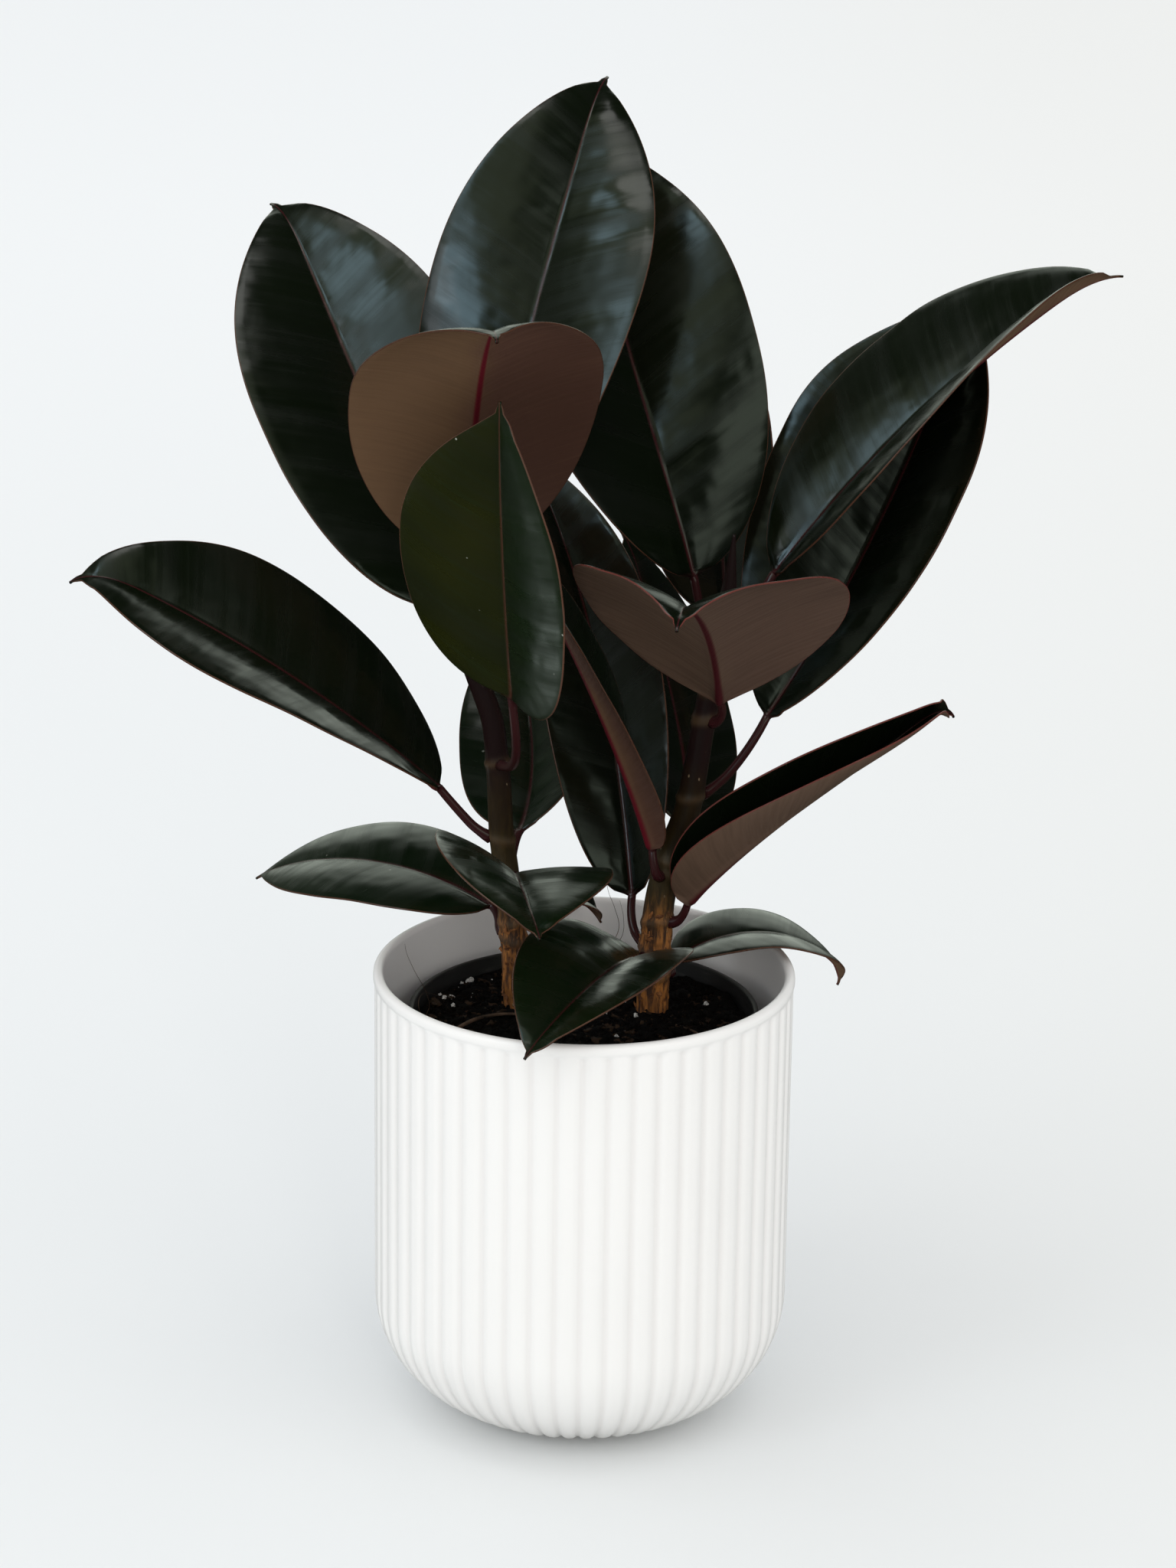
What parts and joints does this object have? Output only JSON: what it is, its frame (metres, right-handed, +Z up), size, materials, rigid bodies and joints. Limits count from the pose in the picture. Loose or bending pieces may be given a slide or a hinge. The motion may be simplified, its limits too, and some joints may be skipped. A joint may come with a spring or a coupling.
{
  "type": "potted rubber plant",
  "caption": "Rubber plant with bare stems and broad glossy dark leaves, growing in a plastic pot of soil that stands in a white ribbed ceramic cover pot.",
  "frame": {"origin": "centre of the cover pot's flat foot, on the surface it stands on", "axes": "+Z up along the pot's axis, +X to the viewer's right, +Y away from the viewer"},
  "size_m": [0.3715, 0.3224, 0.4678],
  "materials": {
    "white_ceramic": "satin white glaze",
    "black_plastic": "matt black",
    "potting_mix": "loose dark bark and peat mix",
    "stem_bark": "smooth olive brown bark, flaky low down",
    "leaf_dark": "glossy dark green above, brown below, red midrib",
    "leaf_olive": "glossy olive green above, brown below, red midrib"
  },
  "bodies": {
    "root": {"cover_pot": "white_ceramic", "nursery_pot": "black_plastic", "soil": "potting_mix", "stem_left": "stem_bark", "stem_right": "stem_bark", "leaf_top_left": "leaf_dark", "leaf_top_middle": "leaf_dark", "leaf_top_front": "leaf_dark", "leaf_olive_front": "leaf_olive", "leaf_far_left": "leaf_dark", "leaf_low_left": "leaf_dark", "leaf_low_front": "leaf_dark", "leaf_withered": "leaf_dark", "leaf_low_back": "leaf_dark", "leaf_upper_back": "leaf_dark", "leaf_rear": "leaf_dark", "leaf_top_right": "leaf_dark", "leaf_tall_right": "leaf_dark", "leaf_broad_front": "leaf_dark", "leaf_right_trough": "leaf_dark", "leaf_folded": "leaf_dark", "leaf_upright_back": "leaf_dark", "leaf_middle_back": "leaf_dark", "leaf_lowest_front": "leaf_dark", "leaf_lowest_right": "leaf_dark"}
  },
  "joints": []
}
